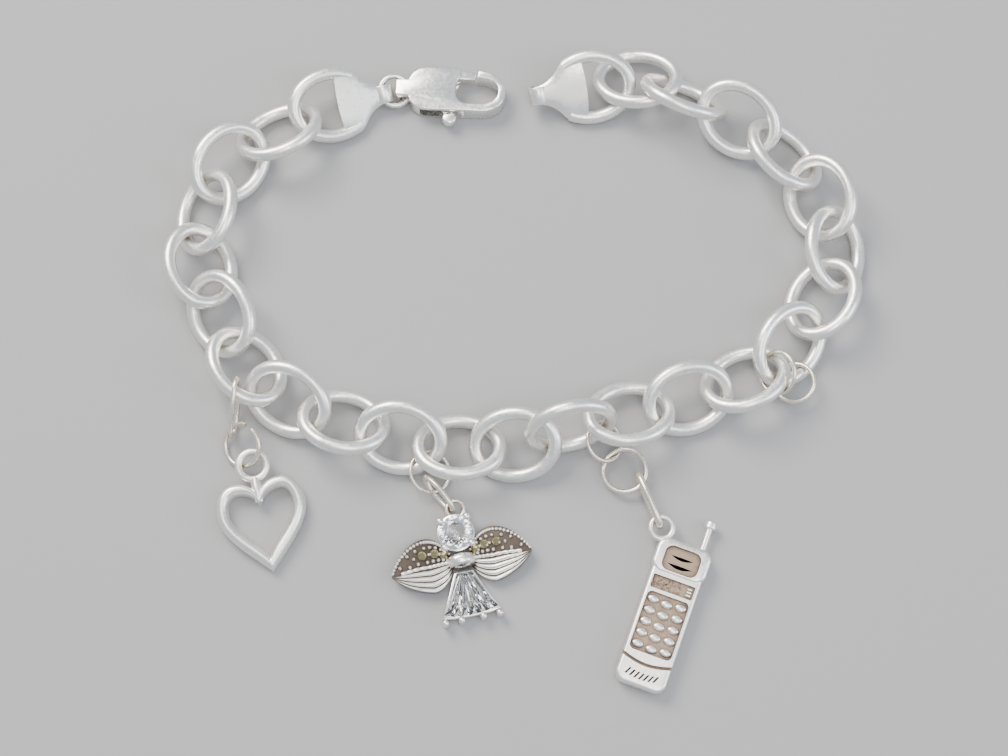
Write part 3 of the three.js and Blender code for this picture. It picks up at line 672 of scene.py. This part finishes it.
def wing(side):
    """One wing: blackened plate, rope edge, beads round rose-cut marcasites, engraved feathers."""
    field = ANGEL["field"]
    rim = [wing_point(side, k / 30, 0.0) for k in range(31)]
    rim += [wing_point(side, k / 30, 1.0) for k in range(29, -1, -1)]
    parts = [(*slab(rim, 0.0, field, 0.12), BLACKENED_SILVER)]
    for k in range(ROPE_BEADS):
        x, y = wing_point(side, 0.03 + 0.93 * k / (ROPE_BEADS - 1), 0.06)
        parts.append((*dome(x, y, 0.23, field - 0.12, 0.34, 12, 4), TUMBLED_SILVER))
    scallop = np.array([(*wing_point(side, 0.03 + 0.8 * k / 120, 0.53), field) for k in range(121)])
    swell = 0.17 + 0.06 * np.abs(np.sin(np.arange(121) * pi / 12))
    parts.append((*wire(scallop, swell, (0, 0, 1), closed=False, sides=10), TUMBLED_SILVER))
    for k in range(MARCASITES):
        x, y = wing_point(side, 0.16 + 0.19 * k, 0.3)
        rows = [around(0.55, field - 0.1, 8, 0, x, y), around(0.53, field + 0.12, 8, 0, x, y),
                around(0.3, field + 0.34, 8, 0.5, x, y)]
        parts.append((*lofted(rows), CUT_MARCASITE))
    for down, count, start in ((0.17, 7, 0.1), (0.3, 4, 0.255), (0.43, 7, 0.1)):
        for k in range(count):
            x, y = wing_point(side, start + (0.19 if down == 0.3 else 0.1) * k, down)
            parts.append((*dome(x, y, 0.24, field - 0.08, 0.36, 12, 4), POLISHED_SILVER))
    for feather in range(FEATHERS):
        centre_down = 0.635 + 0.335 * feather / (FEATHERS - 1)
        rows = []
        for k in range(37):
            along = 0.06 + 0.93 * k / 36
            taper = sin(min(1.0, (k + 0.7) / 5) * pi / 2) * sin(min(1.0, (36.7 - k) / 9) * pi / 2)
            row = []
            for share in (-1, -0.6, -0.2, 0.2, 0.6, 1):
                down = min(1.0, centre_down + 0.052 * share * taper)
                crown = (1 - abs(share) ** 2.2) * 0.26 * taper
                row.append((*wing_point(side, along, down), field - 0.06 + crown))
            row += [(x, y, field - 0.14) for x, y, _ in (row[5], row[0])]
            rows.append(row)
        parts.append((*lofted(rows), TUMBLED_SILVER))
    lean = Matrix.Rotation(radians(-side * ANGEL["tilt"]), 4, "Y")
    return [([lean @ Vector(v) for v in verts], faces, material) for verts, faces, material in parts]


def collar(levels=9, steps=40):
    """The polished convex body between head and skirt."""
    rows = []
    for level in range(levels):
        turn = level * pi / 2 / levels
        wide, long = 1.75 * cos(turn) ** 0.6, 1.0 * cos(turn) ** 0.6
        row = []
        for k in range(steps):
            x, y = cos(k * 2 * pi / steps), sin(k * 2 * pi / steps)
            flat_x, flat_y = np.sign(x) * abs(x) ** 0.8, np.sign(y) * abs(y) ** 0.8
            row.append((wide * flat_x, long * flat_y, 2.4 * sin(turn)))
        rows.append(row)
    return lofted(rows)


angel_matrix, angel_size = seat("angel_setting", ANGEL["turn"])
angel_matrix = angel_matrix @ Matrix.Translation((angel_size[0] / 2, ANGEL["low_y"], 0))
head_y, head = ANGEL["head_y"], ANGEL["head"]
basket_rows = [around(head - 0.6, 0.0, 40, 0, 0, head_y), around(head - 0.45, 0.6, 40, 0, 0, head_y),
               around(head + 0.08, 1.5, 40, 0, 0, head_y), around(head + 0.05, 1.75, 40, 0, 0, head_y),
               around(head - 0.12, 1.8, 40, 0, 0, head_y), around(head - 0.3, 1.1, 40, 0, 0, head_y)]
tray = outline((-1.15, -1.3), ((-3.4, -6.2),), ((-3.2, -6.7), (3.2, -6.7), (3.4, -6.2)), ((1.15, -1.3),))
loop_x, loop_y, loop_z = ANGEL["loop"]
loop_size = 2 * ANGEL["loop_radius"]
loop_line = oval_path(loop_size, loop_size, 56) + (loop_x, loop_y, loop_z)
shank = [(0, 4.2, 0.9), (0.15, 4.7, 1.2), (0.35, 5.05, 1.45)]
angel_parts = [(*lofted(basket_rows), POLISHED_SILVER), (*slab(tray, 0, 0.95, 0.15), POLISHED_SILVER),
               (*collar(), POLISHED_SILVER),
               (*wire(loop_line, ANGEL["loop_wire"] / 2, (0, 0, 1)), DRAWN_SILVER),
               (*wire(shank, [0.5, 0.45, 0.3], (1, 0, 0), closed=False), TUMBLED_SILVER)]
for side in (-1, 1):
    angel_parts += wing(side)
for quarter in range(4):
    reach, turn = head + 0.12, pi / 4 + quarter * pi / 2
    ball = prong(reach * cos(turn), head_y + reach * sin(turn), 0.42, 0.6, ANGEL["head_top"])
    angel_parts.append((*ball, POLISHED_SILVER))
for share in (-1, -0.4, 0.4, 1):
    angel_parts.append((*prong(share * (SKIRT["bottom_half"] - 0.15), SKIRT["bottom"] - 0.25, 0.4, 0, 1.95),
                        POLISHED_SILVER))
piece("angel", angel_parts, "angel_setting", matrix=angel_matrix, sharp=38)
piece("angel_head_brilliant", [(*brilliant(0, head_y, head - 0.15, 1.25, ANGEL["head_top"]), ZIRCONIA)],
      "angel_head_stone", matrix=angel_matrix, sharp=1)
piece("angel_skirt_tapered", [(*skirt_stone(), ZIRCONIA)], "angel_skirt_stone",
      matrix=angel_matrix, sharp=1)

# ---- phone charm -------------------------------------------------------------------------
# A small solid casting of a handset with an aerial. Its sunk fields are oxidised, its keys and
# rim rubbed bright. All its keys are blank.

PHONE = {"turn": -20.2, "long": 17.4, "wide": 6.0, "thick": 2.2, "recess": 0.35,
         "head_wide": 6.5, "head_long": 4.2,
         "loop": (-3.4, 9.5, 1.6), "loop_radius": 1.28, "loop_wire": 0.68}
KEYS = {"rows": 5, "across": 1.65, "down": 1.35, "top_y": 1.35}
# Its darker second colour is painted into crevices: partly deeper oxide, partly painted shade.
OXIDISED_SILVER = silver("oxidised_cast_silver", "#A5907F", "#5A463B", 0.4, 0.35, 0.95, 0.02 * MM)


def rounded(half_wide, y0, y1, corner, steps=8):
    """A rounded oblong between y0 and y1."""
    spots = [(half_wide - corner, y0 + corner, -90), (half_wide - corner, y1 - corner, 0),
             (corner - half_wide, y1 - corner, 90), (corner - half_wide, y0 + corner, 180)]
    return [(x + corner * cos(radians(a + 90 * k / steps)), y + corner * sin(radians(a + 90 * k / steps)))
            for x, y, a in spots for k in range(steps + 1)]


def lens(x, y, long, high, bow, steps=10):
    """A curved lens-shaped slot."""
    upper, lower = [], []
    for k in range(steps + 1):
        along, swell = x - long / 2 + long * k / steps, sin(pi * k / steps)
        upper.append((along, y + bow * swell + high * swell))
        lower.append((along, y + bow * swell - high * swell * 0.3))
    return upper + lower[-2:0:-1]


half_long, half_wide, front = PHONE["long"] / 2, PHONE["wide"] / 2, PHONE["thick"]
phone_matrix, _ = seat("phone_charm", PHONE["turn"])
loop_x, loop_y, loop_z = PHONE["loop"]
low_x = loop_x - PHONE["loop_radius"] - PHONE["loop_wire"] / 2
phone_matrix = phone_matrix @ Matrix.Translation((-low_x, half_long, 0))
floor_z = front - PHONE["recess"]
handset = slab(rounded(half_wide, -half_long, half_long, 1.2), 0, front - 0.1, 0.4, 4)
head_half, head_low = PHONE["head_wide"] / 2, half_long - PHONE["head_long"]
brow = slab(rounded(head_half, head_low, half_long, 1.3), 0, front, 0.45, 4)
fields = [slab(rounded(2.5, 2.55, 4.15, 0.2), floor_z, front + 0.5),
          slab(rounded(2.5, -4.85, 2.15, 0.6), floor_z, front + 0.5)]
ear = slab(rounded(2.15, 4.95, 7.95, 0.9), floor_z, front + 1)
ear_below = slab(rounded(2.13, 4.97, 7.93, 0.9), floor_z - 0.03, front + 1)
slots = [slab(lens(0, 6.85, 2.7, 0.3, -0.25), floor_z - 0.3, floor_z + 0.05),
         slab(lens(0, 5.85, 3.0, 0.34, -0.3), floor_z - 0.3, floor_z + 0.05)]
groove_line = [(-3.4 + 6.8 * k / 16, -5.35 - 0.75 * sin(pi * k / 16), front - 0.15) for k in range(17)]
groove = wire(groove_line, 0.2, (0, 0, 1), closed=False, sides=10)
openings = []
for k in range(7):
    x, y = -1.7 + 0.55 * k, -7.3 - 0.2 * sin(pi * k / 6)
    openings.append(slab([(x - 0.3, y - 0.4), (x - 0.06, y - 0.4), (x + 0.34, y + 0.4), (x + 0.1, y + 0.4)],
                         front - 0.5, front + 0.4))
handset_cuts = [fields + [ear_below], [groove] + slots, openings]
phone_parts = carved(handset, handset_cuts, TUMBLED_SILVER, OXIDISED_SILVER)
phone_parts += carved(brow, [[ear], slots], TUMBLED_SILVER, OXIDISED_SILVER)
key_base = floor_z - 0.05
for row in range(KEYS["rows"]):
    for column in (-1, 0, 1):
        x, y = column * KEYS["across"], KEYS["top_y"] - row * KEYS["down"] - 0.15 * (column == 0)
        verts, faces = dome(0, 0, 1, 0, 1, 20, 5)
        verts = [(x + 0.68 * v[0], y + 0.46 * v[1], key_base + 0.42 * v[2] ** 0.5) for v in verts]
        phone_parts.append((verts, faces, TUMBLED_SILVER))
for k in range(3):
    bar = slab(rounded(0.28, 0, 0.2, 0.09, 3), key_base, floor_z + 0.16)
    verts = [(v[0] + 1.95, v[1] + 2.9 + 0.36 * k, v[2]) for v in bar[0]]
    phone_parts.append((verts, bar[1], TUMBLED_SILVER))
pebbles = np.random.default_rng(7)
for k in range(60):
    x, y = -2.3 + 3.5 * pebbles.random(), 2.7 + 1.3 * pebbles.random()
    phone_parts.append((*dome(x, y, 0.1 + 0.05 * pebbles.random(), key_base, 0.12, 8, 3), OXIDISED_SILVER))
loop_line = oval_path(2 * PHONE["loop_radius"], 2 * PHONE["loop_radius"], 64) + (loop_x, loop_y, loop_z)
phone_parts.append((*wire(loop_line, PHONE["loop_wire"] / 2, (0, 0, 1)), TUMBLED_SILVER))
aerial_x = head_half - 1.4
rod = [(aerial_x, half_long + y, front / 2) for y in (-0.6, 1, 2.7)]
button = [(aerial_x, half_long + 2.6 + y, front / 2) for y in (0, 0.12, 0.45, 0.78, 0.9)]
phone_parts.append((*wire(rod, 0.38, (0, 0, 1), closed=False), TUMBLED_SILVER))
knob = wire(button, [0.6, 0.74, 0.75, 0.7, 0.5], (0, 0, 1), closed=False, sides=24)
phone_parts.append((*knob, TUMBLED_SILVER))
piece("phone", phone_parts, "phone_charm", matrix=phone_matrix, sharp=38)

# ---- floor, light and camera --------------------------------------------------------------
# A plain pale surface under large soft studio lights, seen from high over its front edge.

FLOOR_HALF = 4.0
FLOOR_DROP = -0.05 * MM
surface, surface_tree = blank_material("pale_paper")
paper = add(surface_tree, "ShaderNodeBsdfPrincipled", {"Base Color": linear("#A6A5A6"), "Roughness": 0.75})
add(surface_tree, "ShaderNodeOutputMaterial", {0: paper.outputs[0]})
floor_mesh = bpy.data.meshes.new("floor")
floor_corners = [(x * FLOOR_HALF, y * FLOOR_HALF, FLOOR_DROP)
                 for x, y in ((-1, -1), (1, -1), (1, 1), (-1, 1))]
floor_mesh.from_pydata(floor_corners, [], [(0, 1, 2, 3)])
floor_mesh.materials.append(surface)
floor = bpy.data.objects.new("floor", floor_mesh)
bpy.context.scene.collection.objects.link(floor)

world = bpy.data.worlds.new("studio")
bpy.context.scene.world = world
world.use_nodes = True
world.node_tree.nodes["Background"].inputs[0].default_value = linear("#DCE4EE")
world.node_tree.nodes["Background"].inputs[1].default_value = 0.95


def soft_light(name, place, aim, size, watts, colour):
    data = bpy.data.lights.new(name, "AREA")
    data.shape, data.size, data.size_y = "RECTANGLE", *size
    data.energy, data.color = watts, linear(colour)[:3]
    lamp = bpy.data.objects.new(name, data)
    lamp.location = place
    lamp.rotation_euler = (Vector(aim) - Vector(place)).to_track_quat("-Z", "Y").to_euler()
    bpy.context.scene.collection.objects.link(lamp)


soft_light("window", (-0.25, 0.3, 0.42), (0, 0, 0), (0.3, 0.3), 4.2, "#FFFAF0")
soft_light("fill", (0.4, -0.1, 0.3), (0, 0, 0), (0.22, 0.35), 1.1, "#EEF3FF")
soft_light("overhead", (0.05, -0.12, 0.5), (0, 0, 0), (0.14, 0.4), 1.0, "#FFFAF2")

TARGET = Vector((-1.475, -2.066, 0)) * MM
camera_data = bpy.data.cameras.new("camera")
camera_data.lens, camera_data.sensor_width = 70, 36
camera = bpy.data.objects.new("camera", camera_data)
camera.location = TARGET + Vector((0, -60.1, 224.3)) * MM
camera.rotation_euler = (TARGET - camera.location).to_track_quat("-Z", "Y").to_euler()
bpy.context.scene.collection.objects.link(camera)
bpy.context.scene.camera = camera
